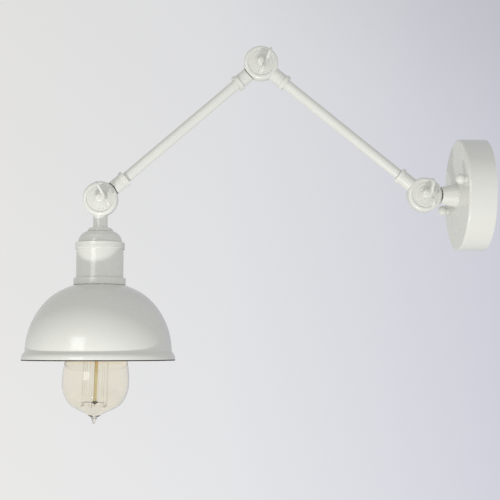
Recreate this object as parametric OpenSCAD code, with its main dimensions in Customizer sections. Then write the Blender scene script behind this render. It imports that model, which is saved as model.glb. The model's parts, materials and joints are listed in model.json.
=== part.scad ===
// Wall sconce with two jointed arms, a dome shade and a filament bulb.
// Millimetres. The origin is the centre of the canopy on the wall, +Z is up,
// -Y points out from the wall into the room, and +X carries the wing screws.
// Both arms swing in the plane X = 0. The joints turn about lines along X.

/* [Reach and pose] */
// Distance from the wall to the first pivot
stem_out = 60; // [56:1:90]
// Distance between the two pivots of each arm
arm_len = 211.5; // [150:0.5:320]
// Angle of the first arm above the horizontal
arm1_rise = 39; // [0:1:60]
// Angle of the second arm below the horizontal
arm2_drop = 41; // [0:1:60]

/* [Canopy] */
// Diameter of the canopy
canopy_d = 112; // [106:1:150]
// Depth of the canopy from the wall
canopy_h = 27.2; // [25:0.1:34]
// Sheet thickness of the canopy
canopy_wall = 1.2; // [0.8:0.1:2]
// Radius of the canopy's front edge
canopy_round = 2.2; // [2.1:0.1:5]

/* [Strap behind the canopy] */
// Width of the strap
strap_w = 18; // [16:1:24]
// Thickness of the strap
strap_t = 2; // [1.5:0.1:3]
// Length of the strap
strap_len = 97; // [95:0.5:100]
// Tilt of the strap and its studs from the horizontal
strap_tilt = 14; // [0:1:45]
// Distance between the two wall screws
wall_screw_span = 60; // [58:0.5:64]
// Diameter of each wall screw hole
wall_hole_d = 5; // [4:0.1:6]
// Diameter of the cable hole in the middle of the strap
cable_hole_d = 9; // [6:0.5:10]
// Distance between the two canopy studs
stud_span = 86; // [84:0.5:88]
// Diameter of each canopy stud
stud_d = 4; // [3:0.1:5]
// Diameter of the round nuts on the studs
ball_nut_d = 10.4; // [9:0.1:13]

/* [Terminal block] */
// Width of the block along the strap
block_w = 17; // [16:0.5:18]
// Length of the block across the strap
block_len = 16; // [14:0.5:18]
// Height of the block above the strap
block_h = 12; // [11:0.5:14]
// Diameter of the brass barrels
barrel_d = 4.6; // [4:0.1:5]

/* [Hollow threaded pipes] */
// Outer diameter of the pipes that hold the stem and the socket
pipe_d = 10; // [8:0.1:10]
// Bore of those pipes
pipe_bore = 7.2; // [5:0.1:7.4]
// Width across the flats of the thin nuts
pipe_nut_af = 14; // [13:0.1:16]
// Height of the thin nuts
pipe_nut_h = 3; // [2:0.1:4]

/* [Knuckles] */
// Diameter of the knuckle discs
disc_d = 34.5; // [33:0.5:42]
// Thickness of each half disc
half_t = 7.4; // [7:0.1:11]
// Radius of the disc's outer edge
disc_round = 2.8; // [1:0.1:3]
// Diameter of the raised middle of each disc
hub_d = 15; // [14:0.5:18]
// Height of the raised middle
hub_h = 1.2; // [0.6:0.1:2]
// Thickness of the friction washer between the halves
friction_t = 0.8; // [0.5:0.1:1.2]
// Outer diameter of the friction washer
friction_d = 29.6; // [28:0.1:31]
// Diameter of the pivot screws
pivot_d = 5; // [4:0.1:6]
// Diameter of the necks
neck_d = 14.4; // [13:0.1:16]
// Distance from the disc's edge to the end of the arm necks
neck_len = 11.75; // [9:0.25:16]
// Gap between a disc and the other half's neck
scoop_gap = 0.9; // [0.5:0.1:1.5]
// Diameter of the stem where it starts
stem_d1 = 17.3; // [16:0.1:18]
// Diameter of the stem where it meets the canopy
stem_d2 = 24; // [20:0.1:30]

/* [Arms] */
// Diameter of the arm tubes
tube_d = 10.6; // [9:0.1:11]
// Wall of the arm tubes
tube_wall = 1.3; // [0.8:0.1:1.6]
// Depth of each tube end in its neck
tube_depth = 7; // [5:0.5:8]
// Diameter of the lock rings
lock_ring_d = 16.8; // [15:0.1:20]
// Length of the lock rings
lock_ring_len = 3.6; // [2:0.1:6]

/* [Wing screws] */
// Span of the wings
wing_span = 28.4; // [24:0.2:32]
// Thickness of the wings
wing_t = 2.4; // [2:0.1:4]
// Distance of the wings' middle plane from the screw's own line
wing_side = 4.8; // [0:0.1:6]
// Height of the wings above the washer
wing_h = 16; // [14:0.5:20]
// Diameter of the collar under the wings
collar_d = 9.6; // [8:0.1:11]
// Diameter of the plain washer under the collar
wing_washer_d = 12; // [11:0.1:14]
// Thickness of that washer
wing_washer_t = 0.8; // [0.5:0.1:1.2]
// Turn of the wall knuckle's wings from upright
wall_wing_turn = 0; // [-90:1:90]
// Turn of the elbow's wings from upright
elbow_wing_turn = -22; // [-90:1:90]
// Turn of the head knuckle's wings from upright
head_wing_turn = 31; // [-90:1:90]

/* [Socket housing] */
// Length of the head's neck below the disc
head_neck = 14.85; // [13:0.05:20]
// Diameter of the rounded foot of the head's neck
foot_d = 25.2; // [22:0.1:26]
// Radius of the cap's shoulder
cap_round = 10; // [8:0.1:10.5]
// Diameter of the cap under its shoulder
cap_d = 42.8; // [42:0.1:44]
// Wall of the cap, the cup and the ring
cap_wall = 1.2; // [0.8:0.1:1.4]
// Height of the cap's lower band
band_h = 8.3; // [6:0.1:12]
// Diameter of the cup
cup_d = 46.4; // [45:0.1:50]
// Length of the cup that shows
cup_len = 28.3; // [26:0.1:40]
// Diameter of the ring at the foot of the cup
cup_ring_d = 51.4; // [50:0.1:55]
// Height of that ring
cup_ring_h = 5.6; // [4.5:0.1:9]
// Height of the groove at the foot of the ring
ring_groove_h = 0.9; // [0.5:0.1:1.5]
// Depth of that groove
ring_groove_in = 1.5; // [0.5:0.1:2]
// Thickness of the ring's floor
ring_floor = 1.5; // [1:0.1:2]

/* [Lampholder] */
// Outer diameter of the lampholder
holder_d = 38.8; // [37:0.1:39.4]
// Length of the lampholder below the cup's ring
holder_drop = 20; // [18:0.5:24]
// Inner diameter of the brass screw shell
shell_bore = 27.8; // [27.6:0.1:28.2]
// Thickness of the screw shell
shell_t = 0.6; // [0.4:0.1:0.8]
// Diameter of the clamping ring inside the shade
clamp_ring_d = 48.8; // [46:0.1:49.6]
// Height of the clamping ring
clamp_ring_h = 7; // [5:0.5:10]

/* [Shade] */
// Diameter of the rim
rim_d = 150; // [146:0.5:170]
// Radius of the dome
dome_r = 71.5; // [68:0.5:72]
// Sheet thickness of the shade
shade_wall = 1; // [0.8:0.1:1.6]
// Diameter of the shade's flat top
shade_flat_d = 51.5; // [51:0.1:54]
// Height of the shade
shade_h = 75.5; // [74:0.5:90]
// Height of the flared lip
lip_h = 9.3; // [5:0.1:12]

/* [Bulb] */
// Largest diameter of the glass
bulb_d = 65.4; // [58:0.2:70]
// Distance from the end contact to the tip of the glass
bulb_len = 142.4; // [136:0.2:150]
// Thickness of the glass
glass_t = 0.8; // [0.5:0.1:1.2]
// Diameter of the screw cap
bulb_cap_d = 26.4; // [26:0.1:26.6]
// Lean of the bulb in its screw thread, in degrees
bulb_lean = 1.8; // [0:0.1:2]
// Radius of the filament cage
cage_r = 13; // [9:0.5:15]
// Length of the filament cage
cage_len = 66; // [50:1:70]
// Diameter of the filament
filament_d = 0.5; // [0.4:0.05:0.8]
// Number of filament strands, an even number
strands = 12; // [8:2:16]

/* [Hidden] */
$fn = 72;

// Clearances
slip = 0.05;       // radial, round pieces that slide together or screw in
running = 0.05;    // radial, pivot screws in their holes
hole_gap = 0.2;    // radial, fasteners through plain holes
eps = 0.01;

// Colours
paint = [0.88, 0.88, 0.85];
steel = [0.72, 0.72, 0.72];
brass = [0.80, 0.66, 0.36];
bakelite = [0.14, 0.13, 0.12];
porcelain = [0.93, 0.92, 0.88];
nylon = [0.93, 0.93, 0.90];
fibre = [0.55, 0.33, 0.22];
amber_glass = [0.90, 0.80, 0.60, 0.4];

// Pivots, as [y, z]
disc_r = disc_d / 2;
wall_pivot = [-stem_out, 0];
elbow_pivot = wall_pivot + arm_len * [-cos(arm1_rise), sin(arm1_rise)];
head_pivot = elbow_pivot + arm_len * [-cos(arm2_drop), -sin(arm2_drop)];

// Knuckle, measured from the middle plane along X and from the pivot outwards
half_start = friction_t / 2;
face_x = half_start + half_t;
hub_x = face_x + hub_h;
neck_end = disc_r + neck_len;
neck_lines = 2;
neck_line_r = 0.35;
tube_start = neck_end - tube_depth;
scoop_r = disc_r + scoop_gap;
chamber_r = 12.5;
chamber_depth = half_t - 2.6;
post_r = pivot_d / 2 + 3;
wire_r = 3;
pivot_hole_r = pivot_d / 2 + running;
ring_groove_r1 = hub_d / 2 + 3.6;
ring_groove_r2 = disc_r - disc_round - 0.8;
groove_depth = 0.7;

// Canopy stack, as distances from the wall
canopy_r = canopy_d / 2;
canopy_inside = canopy_h - canopy_wall;
pipe_r = pipe_d / 2;
stem_washer_t = 1;
stem_pipe_end = canopy_inside - stem_washer_t - pipe_nut_h - 1.5;
stem_pipe_depth = 8;
stud_r = stud_d / 2;
ball_r = ball_nut_d / 2;
ball_seat = 0.4;
locknut_h = 3.2;
locknut_af = stud_d * 1.75;
ground_at = 17;
block_at = -cable_hole_d / 2 - 0.5 - block_w / 2;

// Head stack, as distances below the head pivot
cap_top = disc_r + head_neck;
head_pipe_start = cap_top - 9;
band_top = cap_top + cap_round;
band_end = band_top + band_h;
cup_start = band_top + cap_wall + 0.2;
cup_end = band_end + cup_len;
shade_top = cup_end + cup_ring_h;
seat_z = shade_top - ring_floor;
cup_r = cup_d / 2;
cap_gap = 0.35;
band_wall = 0.9;
band_r = cup_r + cap_gap + band_wall;
band_lines = 3;
band_line_r = 0.22;
ring_r = cup_ring_d / 2;
holder_r = holder_d / 2;
holder_hole_r = holder_r + 0.5;
holder_end = shade_top + holder_drop;
skirt_start = holder_end - 32;
skirt_wall = 2.6;
dome_top = skirt_start - 16;
dome_neck = 4;
head_pipe_end = dome_top + 3;
shell_r = shell_bore / 2 + shell_t;
shell_end = holder_end - 5;
core_top = skirt_start - 6;
core_end = skirt_start + 4;
terminal_at = 9;
terminal_len = 7;
contact_z = core_end + 2.4;

// Shade
flat_r = shade_flat_d / 2;
dome_z = shade_top + sqrt(dome_r * dome_r - flat_r * flat_r);
rim_z = shade_top + shade_h;
lip_z = rim_z - lip_h;
lip_r = sqrt(pow(dome_r, 2) - pow(lip_z - dome_z, 2));
inner_lip_r = sqrt(pow(dome_r - shade_wall, 2) - pow(lip_z - dome_z, 2));
rim_r = rim_d / 2;
hem = 1.8;

// Bulb, as distances below the head pivot
bulb_top = contact_z + 0.15;
bulb_tip = bulb_top + bulb_len;
contact_h = 1.4;
insulator_h = 3.4;
cap_start = bulb_top + contact_h + insulator_h;
cap_len = 22;
cap_skirt = 5.8;
cap_end = cap_start + cap_len;
glass_neck_r = bulb_cap_d / 2 - 0.4;
glass_start = cap_end - 5;
lean_z = cap_start + cap_len / 2;
wide_z = bulb_tip - 40.6;
cage_end = bulb_tip - 20.8;
cage_top = cage_end - cage_len;
stem_rod_r = 1.5;
bead_r = 2.2;
bead_h = 2.4;
support_r = 0.25;
lead_r = 0.3;
press_z = cap_end + 14;
tip_solid = 11.6;

// Helpers

// Points of a cubic curve with control points p, without its first point
function curve(p, n) = [for (i = [1:n]) let (t = i / n, s = 1 - t)
  s * s * s * p[0] + 3 * s * s * t * p[1] + 3 * s * t * t * p[2] + t * t * t * p[3]];

// A path moved sideways by d, to its left as it runs
function moved(path, d) = [for (i = [0:len(path) - 1])
  let (a = path[max(i - 1, 0)], b = path[min(i + 1, len(path) - 1)], v = (b - a) / norm(b - a))
  path[i] + d * [-v[1], v[0]]];

// A list in reverse order
function reversed(list) = [for (i = [len(list) - 1:-1:0]) list[i]];

// Ring of revolution between two radii and two distances below the pivot
module ring(r1, r2, z1, z2) {
  rotate_extrude()
    translate([r1, -z2])
      square([r2 - r1, z2 - z1]);
}

// Disc or rod along X
module rod_x(r, x1, x2) {
  translate([x1, 0, 0])
    rotate([0, 90, 0])
      cylinder(r = r, h = x2 - x1);
}

// Rod along Y between two distances from the wall
module rod_out(r, y1, y2) {
  translate([0, -y1, 0])
    rotate([90, 0, 0])
      cylinder(r = r, h = y2 - y1);
}

// Hexagonal nut with a round hole, standing on the plane z = 0
module hex_nut(af, h, hole_r) {
  difference() {
    cylinder(r = af / sqrt(3), h = h, $fn = 6);
    translate([0, 0, -1])
      cylinder(r = hole_r, h = h + 2);
  }
}

// Places a piece whose pivot is its own origin and whose neck points down,
// so that the neck points at an angle above the outward horizontal
module aim(pivot, elevation) {
  translate([0, pivot[0], pivot[1]])
    rotate([-90 - elevation, 0, 0])
      children();
}

// Places what lies along the strap, turned with it
module on_strap(along = 0) {
  rotate([0, -strap_tilt, 0])
    translate([along, 0, 0])
      children();
}

// Knuckles

// One half disc on the +X side of the middle plane, before its holes
module half_disc() {
  rotate([0, 90, 0])
    rotate_extrude()
      difference() {
        union() {
          translate([0, half_start])
            square([disc_r, half_t - disc_round]);
          translate([0, half_start])
            square([disc_r - disc_round, half_t]);
          translate([disc_r - disc_round, face_x - disc_round])
            circle(r = disc_round);
          square([hub_d / 2, hub_x]);
        }
        square([hub_d, half_start]);
        translate([ring_groove_r1, face_x - groove_depth])
          square([ring_groove_r2 - ring_groove_r1, groove_depth + 1]);
      }
}

// The hollow in a half disc, with its middle post left standing
module half_hollow() {
  difference() {
    rod_x(chamber_r, half_start - 1, half_start + chamber_depth);
    rod_x(post_r, half_start - 2, face_x);
  }
}

// A half disc with whatever neck is passed in as children
module knuckle_half() {
  difference() {
    union() {
      half_disc();
      difference() {
        children();
        rod_x(scoop_r, -disc_r, half_start);
        rod_x(chamber_r + 1, half_start - 1, face_x);
      }
    }
    half_hollow();
    rod_x(pivot_hole_r, -disc_r, disc_r);
    translate([0, 0, -neck_end])
      cylinder(r = wire_r, h = neck_end - chamber_r + 2);
  }
}

// Knuckle half at the end of an arm: a plain neck that takes the tube
module arm_knuckle_half() {
  difference() {
    knuckle_half()
      translate([0, 0, -neck_end])
        cylinder(r = neck_d / 2, h = neck_len + 5);
    translate([0, 0, -neck_end - 1])
      cylinder(r = tube_d / 2 + slip, h = tube_depth + 1);
    for (i = [1:neck_lines])
      translate([0, 0, -neck_end + i * neck_len * 0.17])
        rotate_extrude()
          translate([neck_d / 2 + 0.05, 0])
            circle(r = neck_line_r, $fn = 16);
  }
}

module friction_washer() {
  difference() {
    rod_x(friction_d / 2, -half_start, half_start);
    rod_x(chamber_r + 0.1, -1, 1);
  }
}

// Outline of the wings: half the span sideways, height upwards
module wing_outline() {
  lobe_r = wing_span * 0.19;
  lobe_at = wing_span / 2 - lobe_r;
  lobe_up = wing_h - lobe_r;
  difference() {
    union() {
      for (side = [-1, 1])
        translate([side * lobe_at, lobe_up])
          circle(r = lobe_r);
      polygon([
        [-collar_d / 2 + 0.4, 1.5], [collar_d / 2 - 0.4, 1.5],
        [lobe_at + lobe_r * 0.8, lobe_up - lobe_r * 0.6], [lobe_at, wing_h],
        [-lobe_at, wing_h], [-lobe_at - lobe_r * 0.8, lobe_up - lobe_r * 0.6]
      ]);
    }
    translate([0, wing_h + wing_span * 0.16])
      circle(r = wing_span * 0.29);
  }
}

module wing_screw(turn) {
  seat_x = hub_x + wing_washer_t;
  collar_h = wing_h * 0.34;
  rotate([turn, 0, 0]) {
    rod_x(pivot_d / 2, -hub_x + 0.6, seat_x + 1);
    translate([seat_x, 0, 0])
      rotate([0, 90, 0])
        cylinder(r1 = collar_d / 2, r2 = collar_d / 2 - 0.8, h = collar_h);
    // Web that joins the collar to the wings at its side
    translate([seat_x, 0, -collar_d / 2 + 0.4])
      cube([collar_h * 0.8, wing_side, collar_d - 0.8]);
    translate([seat_x, wing_side + wing_t / 2, 0])
      rotate([90, 0, 0])
        linear_extrude(height = wing_t)
          rotate(-90)
            wing_outline();
  }
}

module wing_washer() {
  difference() {
    rod_x(wing_washer_d / 2, hub_x, hub_x + wing_washer_t);
    rod_x(pivot_d / 2 + slip, hub_x - 1, hub_x + 2);
  }
}

// Arms

module arm_tube() {
  translate([0, 0, -arm_len + tube_start])
    difference() {
      cylinder(r = tube_d / 2, h = arm_len - 2 * tube_start);
      translate([0, 0, -1])
        cylinder(r = tube_d / 2 - tube_wall, h = arm_len);
    }
}

module lock_rings() {
  for (z = [neck_end, arm_len - neck_end - lock_ring_len])
    ring(tube_d / 2 + slip, lock_ring_d / 2, z, z + lock_ring_len);
}

// Wall plate

module canopy_shell() {
  color(paint)
    difference() {
      rotate([90, 0, 0])
        rotate_extrude()
          difference() {
            union() {
              square([canopy_r, canopy_h - canopy_round]);
              square([canopy_r - canopy_round, canopy_h]);
              translate([canopy_r - canopy_round, canopy_h - canopy_round])
                circle(r = canopy_round);
            }
            inner_r = canopy_r - canopy_wall;
            inner_round = canopy_round - canopy_wall;
            translate([-1, -1])
              square([inner_r + 1, canopy_inside - inner_round + 1]);
            translate([-1, -1])
              square([inner_r - inner_round + 1, canopy_inside + 1]);
            translate([inner_r - inner_round, canopy_inside - inner_round])
              circle(r = inner_round);
          }
      rod_out(pipe_r + hole_gap, canopy_inside - 1, canopy_h + 1);
      for (side = [-1, 1])
        on_strap(side * stud_span / 2)
          rod_out(stud_r + hole_gap, canopy_inside - 1, canopy_h + 1);
    }
}

module mounting_strap() {
  color(steel)
    difference() {
      on_strap()
        intersection() {
          translate([-strap_len / 2, -strap_t, -strap_w / 2])
            cube([strap_len, strap_t, strap_w]);
          rod_out(strap_len / 2, 0, strap_t);
        }
      rod_out(cable_hole_d / 2, -1, strap_t + 1);
      for (side = [-1, 1]) {
        on_strap(side * wall_screw_span / 2)
          rod_out(wall_hole_d / 2, -1, strap_t + 1);
        on_strap(side * stud_span / 2)
          rod_out(stud_r + slip, -1, strap_t + 1);
      }
      on_strap(ground_at)
        rod_out(2 + slip, -1, strap_t + 1);
      on_strap(block_at)
        rod_out(1.5 + slip, -1, strap_t + 1);
    }
}

module canopy_studs() {
  color(steel)
    for (side = [-1, 1])
      on_strap(side * stud_span / 2)
        rod_out(stud_r, 0, canopy_h + ball_seat + ball_r + 1);
}

module stud_locknuts() {
  color(steel)
    for (side = [-1, 1])
      on_strap(side * stud_span / 2)
        translate([0, -strap_t, 0])
          rotate([90, 0, 0])
            hex_nut(locknut_af, locknut_h, stud_r + slip);
}

module ball_nuts() {
  color(paint)
    for (side = [-1, 1])
      on_strap(side * stud_span / 2)
        difference() {
          intersection() {
            union() {
              translate([0, -canopy_h - ball_seat - ball_r + 0.6, 0])
                sphere(r = ball_r);
              rod_out(ball_r * 0.68, canopy_h, canopy_h + 1.6);
            }
            rod_out(ball_r + 1, canopy_h, canopy_h + 3 * ball_r);
          }
          rod_out(stud_r + slip, canopy_h - 1, canopy_h + ball_seat + ball_r + 1);
        }
}

module ground_screw() {
  color([0.35, 0.55, 0.35])
    on_strap(ground_at)
      union() {
        rod_out(2, 0, strap_t + 0.5);
        rod_out(5, strap_t, strap_t + 0.8);
        difference() {
          rod_out(3.6, strap_t + 0.7, strap_t + 3.2);
          translate([-4, -strap_t - 3.3, -0.4])
            cube([8, 0.9, 0.8]);
        }
      }
}

// Places what belongs to one pole of the terminal block
module on_pole(pole) {
  on_strap(block_at + pole * (block_w / 2 - barrel_d / 2 - 1.5))
    translate([0, -strap_t - block_h * 0.4, 0])
      children();
}

module terminal_block() {
  color(nylon)
    difference() {
      on_strap(block_at)
        union() {
          translate([-block_w / 2, -strap_t - block_h * 0.8, -block_len / 2])
            cube([block_w, block_h * 0.8, block_len]);
          for (pole = [-1, 1])
            for (end = [-1, 1])
              translate([pole * (block_w / 2 - barrel_d / 2 - 1.5), 0, end * block_len * 0.25])
                rod_out(3.1, strap_t + 1, strap_t + block_h);
        }
      for (pole = [-1, 1])
        on_pole(pole) {
          translate([0, 0, -block_len / 2 - 1])
            cylinder(r = barrel_d / 2 + slip, h = block_len + 2);
          for (end = [-1, 1])
            translate([0, 0, end * block_len * 0.25])
              rod_out(1.7, 0, block_h);
        }
      on_strap(block_at)
        rod_out(1.5 + slip, 0, strap_t + block_h);
    }
}

module terminal_barrels() {
  color(brass)
    for (pole = [-1, 1])
      on_pole(pole)
        difference() {
          translate([0, 0, -block_len * 0.42])
            cylinder(r = barrel_d / 2, h = block_len * 0.84);
          translate([0, 0, -block_len])
            cylinder(r = barrel_d / 2 - 1, h = block_len * 2);
          for (end = [-1, 1])
            translate([0, 0, end * block_len * 0.25])
              rod_out(1.3 + slip, 0, block_h);
        }
}

module terminal_screws() {
  color(brass)
    for (pole = [-1, 1])
      on_pole(pole)
        for (end = [-1, 1])
          translate([0, 0, end * block_len * 0.25])
            difference() {
              rod_out(1.3, 0.4, block_h * 0.5);
              translate([-2, -block_h * 0.5 - 0.1, -0.25])
                cube([4, 0.7, 0.5]);
            }
}

module block_screw() {
  color(steel)
    on_strap(block_at)
      union() {
        rod_out(1.5, 0, strap_t + block_h * 0.8 + 0.2);
        difference() {
          rod_out(2.4, strap_t + block_h * 0.8, strap_t + block_h * 0.8 + 1.8);
          translate([-3, -strap_t - block_h * 0.8 - 1.9, -0.3])
            cube([6, 0.8, 0.6]);
        }
      }
}

module wall_knuckle() {
  stem_end = stem_out - canopy_h;
  slope = (stem_d2 - stem_d1) / 2 / (stem_end - scoop_r);
  root = scoop_r - 5;
  color(paint)
    aim(wall_pivot, 180)
      mirror([1, 0, 0])
        difference() {
          knuckle_half()
            translate([0, 0, -stem_end])
              cylinder(r1 = stem_d2 / 2, r2 = stem_d1 / 2 - slope * (scoop_r - root), h = stem_end - root);
          translate([0, 0, -stem_end - 1])
            cylinder(r = pipe_r + slip, h = stem_pipe_depth + 1);
          translate([0, 0, -stem_end])
            cylinder(r = wire_r, h = stem_end - chamber_r + 2);
        }
}

module stem_pipe() {
  color(steel)
    difference() {
      rod_out(pipe_r, stem_pipe_end, canopy_h + stem_pipe_depth);
      rod_out(pipe_bore / 2, 0, stem_out);
    }
}

module stem_nut() {
  color(steel)
    translate([0, -canopy_inside + stem_washer_t + pipe_nut_h, 0])
      rotate([90, 0, 0])
        hex_nut(pipe_nut_af, pipe_nut_h, pipe_r + slip);
}

module stem_washer() {
  color(steel)
    difference() {
      rod_out(pipe_nut_af * 0.62, canopy_inside - stem_washer_t, canopy_inside);
      rod_out(pipe_r + hole_gap, canopy_inside - 2, canopy_inside + 1);
      for (i = [0:11])
        rotate([0, i * 30 + 15, 0])
          translate([pipe_nut_af * 0.56, -canopy_inside - 1, -0.5])
            cube([4, 4, 1]);
    }
}

// Joints at the wall, the elbow and the head

module wall_friction_washer() {
  color(fibre)
    aim(wall_pivot, 0)
      friction_washer();
}

module wall_wing_screw() {
  color(paint)
    translate([0, wall_pivot[0], wall_pivot[1]])
      wing_screw(wall_wing_turn);
}

module wall_wing_washer() {
  color(paint)
    aim(wall_pivot, 0)
      wing_washer();
}

module elbow_friction_washer() {
  color(fibre)
    aim(elbow_pivot, 0)
      friction_washer();
}

module elbow_wing_screw() {
  color(paint)
    translate([0, elbow_pivot[0], elbow_pivot[1]])
      wing_screw(elbow_wing_turn);
}

module elbow_wing_washer() {
  color(paint)
    aim(elbow_pivot, 0)
      wing_washer();
}

module head_friction_washer() {
  color(fibre)
    aim(head_pivot, 0)
      friction_washer();
}

module head_wing_screw() {
  color(paint)
    translate([0, head_pivot[0], head_pivot[1]])
      wing_screw(head_wing_turn);
}

module head_wing_washer() {
  color(paint)
    aim(head_pivot, 0)
      wing_washer();
}

// First arm, with the near halves of the wall knuckle and the elbow

module arm1_lower_knuckle() {
  color(paint)
    aim(wall_pivot, arm1_rise)
      arm_knuckle_half();
}

module arm1_tube() {
  color(paint)
    aim(wall_pivot, arm1_rise)
      arm_tube();
}

module arm1_lock_rings() {
  color(paint)
    aim(wall_pivot, arm1_rise)
      lock_rings();
}

module arm1_upper_knuckle() {
  color(paint)
    aim(elbow_pivot, 180 + arm1_rise)
      arm_knuckle_half();
}

// Second arm, with the far halves of the elbow and the head knuckle

module arm2_upper_knuckle() {
  color(paint)
    aim(elbow_pivot, -arm2_drop)
      mirror([1, 0, 0])
        arm_knuckle_half();
}

module arm2_tube() {
  color(paint)
    aim(elbow_pivot, -arm2_drop)
      arm_tube();
}

module arm2_lock_rings() {
  color(paint)
    aim(elbow_pivot, -arm2_drop)
      lock_rings();
}

module arm2_lower_knuckle() {
  color(paint)
    aim(head_pivot, 180 - arm2_drop)
      mirror([1, 0, 0])
        arm_knuckle_half();
}

// Head

// Places what hangs below the head pivot
module below_head() {
  translate([0, head_pivot[0], head_pivot[1]])
    children();
}

module head_knuckle() {
  foot_round = 3.4;
  color(paint)
    below_head()
      difference() {
        knuckle_half()
          union() {
            translate([0, 0, -cap_top])
              cylinder(r = neck_d / 2, h = cap_top - disc_r + 5);
            rotate_extrude()
              translate([0, -cap_top])
                intersection() {
                  union() {
                    square([foot_d / 2 - foot_round, foot_round]);
                    translate([foot_d / 2 - foot_round, 0])
                      circle(r = foot_round);
                  }
                  square([foot_d, foot_round]);
                }
          }
        translate([0, 0, -cap_top - 1])
          cylinder(r = pipe_r + slip, h = cap_top - head_pipe_start + 1);
        translate([0, 0, -cap_top])
          cylinder(r = wire_r, h = cap_top - chamber_r + 2);
      }
}

module head_pipe() {
  color(steel)
    below_head()
      ring(pipe_bore / 2, pipe_r, head_pipe_start, head_pipe_end);
}

module cap_nut() {
  color(steel)
    below_head()
      translate([0, 0, -cap_top - cap_wall - pipe_nut_h])
        hex_nut(pipe_nut_af, pipe_nut_h, pipe_r + slip);
}

module socket_cap() {
  shoulder_r = cap_d / 2 - cap_round;
  edge = 0.8;
  color(paint)
    below_head()
      rotate_extrude()
        difference() {
          union() {
            translate([0, -cap_top - cap_round])
              square([shoulder_r, cap_round]);
            intersection() {
              translate([shoulder_r, -band_top])
                circle(r = cap_round);
              translate([0, -band_top])
                square([cap_d, cap_round]);
            }
            translate([0, -band_end])
              square([band_r, band_h - edge]);
            translate([0, -band_end])
              square([band_r - edge, band_h]);
            translate([band_r - edge, -band_top - edge])
              circle(r = edge);
          }
          translate([-1, -band_top - cap_wall])
            square([shoulder_r + 1, cap_round]);
          intersection() {
            translate([shoulder_r, -band_top])
              circle(r = cap_round - cap_wall);
            translate([0, -band_top - 1])
              square([cap_d, cap_round + 2]);
          }
          translate([-1, -band_top - cap_wall - 0.5])
            square([cap_d / 2 - cap_wall + 1, cap_wall + 0.5]);
          translate([-1, -band_end - 1])
            square([cup_r + cap_gap + 1, band_h - cap_wall + 1]);
          for (i = [1:band_lines])
            translate([band_r + 0.03, -band_end + i * band_h * 0.2])
              circle(r = band_line_r, $fn = 16);
          translate([-1, -cap_top - 2])
            square([pipe_r + hole_gap + 1, 4]);
        }
}

module socket_cup() {
  color(paint)
    below_head()
      ring(cup_r - cap_wall, cup_r, cup_start, seat_z);
}

module cup_ring() {
  edge = 0.7;
  color(paint)
    below_head()
      rotate_extrude()
        difference() {
          union() {
            translate([holder_hole_r, -shade_top + ring_groove_h])
              square([ring_r - holder_hole_r, cup_ring_h - ring_groove_h - edge]);
            translate([holder_hole_r, -shade_top])
              square([ring_r - holder_hole_r - ring_groove_in, cup_ring_h]);
            translate([holder_hole_r, -shade_top + ring_groove_h])
              square([ring_r - holder_hole_r - edge, cup_ring_h - ring_groove_h]);
            translate([ring_r - edge, -cup_end - edge])
              circle(r = edge);
          }
          translate([0, -seat_z])
            square([cup_r + slip, cup_ring_h]);
        }
}

module holder_dome() {
  color(bakelite)
    below_head()
      rotate_extrude()
        difference() {
          union() {
            translate([0, -skirt_start])
              square([holder_r, skirt_start - dome_top - 4]);
            translate([0, -skirt_start])
              square([holder_r - 4, skirt_start - dome_top]);
            translate([holder_r - 4, -dome_top - 4])
              circle(r = 4);
            translate([0, -dome_top])
              square([8, dome_neck]);
          }
          translate([-1, -skirt_start - 1])
            square([holder_r - skirt_wall + 1, skirt_start - dome_top - 4]);
          translate([-1, -skirt_start - 1])
            square([pipe_r + slip + 1, skirt_start - dome_top + dome_neck + 2]);
        }
}

module holder_skirt() {
  color(bakelite)
    below_head()
      difference() {
        ring(holder_r - skirt_wall, holder_r, skirt_start, holder_end);
        for (i = [0:4])
          ring(holder_r - 0.6, holder_r + 1,
            shade_top + 3 + i * 3, shade_top + 4.4 + i * 3);
      }
}

module holder_core() {
  core_r = holder_r - skirt_wall - slip;
  color(porcelain)
    below_head()
      difference() {
        ring(0, core_r, core_top, core_end);
        ring(0, 2 + hole_gap, core_end - 2, core_end + 1);
        for (side = [-1, 1])
          translate([side * terminal_at, 0, -core_top - terminal_len - 1])
            cylinder(r = 2 + slip, h = terminal_len + 2);
      }
}

module screw_shell() {
  foot_r = holder_r - skirt_wall - 0.6;
  color(brass)
    below_head()
      rotate_extrude()
        union() {
          translate([shell_bore / 2, -shell_end])
            square([shell_t, shell_end - core_end]);
          translate([shell_bore / 2, -core_end - shell_t])
            square([foot_r - shell_bore / 2, shell_t]);
        }
}

module centre_contact() {
  color(brass)
    below_head()
      union() {
        ring(0, 2, core_end - 2, core_end + 0.3);
        translate([-3, -2.5, -core_end - 1])
          cube([9, 5, 0.6 + 0.4]);
        ring(0, 2.4, core_end + 0.8, contact_z);
      }
}

module holder_terminals() {
  color(brass)
    below_head()
      for (side = [-1, 1])
        difference() {
          union() {
            translate([side * terminal_at, 0, -core_top - terminal_len])
              cylinder(r = 2, h = terminal_len + 1);
            translate([side * terminal_at, 0, -core_top])
              cylinder(r = 3.2, h = 2.4);
          }
          translate([side * terminal_at - 4, -0.4, -core_top + 1.7])
            cube([8, 0.8, 1]);
        }
}

module clamp_ring() {
  clamp_r = clamp_ring_d / 2;
  top = shade_top + shade_wall;
  lugs = 24;
  color(bakelite)
    below_head()
      difference() {
        ring(holder_r + slip, clamp_r, top, top + clamp_ring_h);
        for (i = [0:lugs - 1])
          rotate(i * 360 / lugs)
            translate([clamp_r + 0.6, 0, -top - clamp_ring_h - 1])
              cylinder(r = 1.5, h = clamp_ring_h - 0.5);
      }
}

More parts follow.
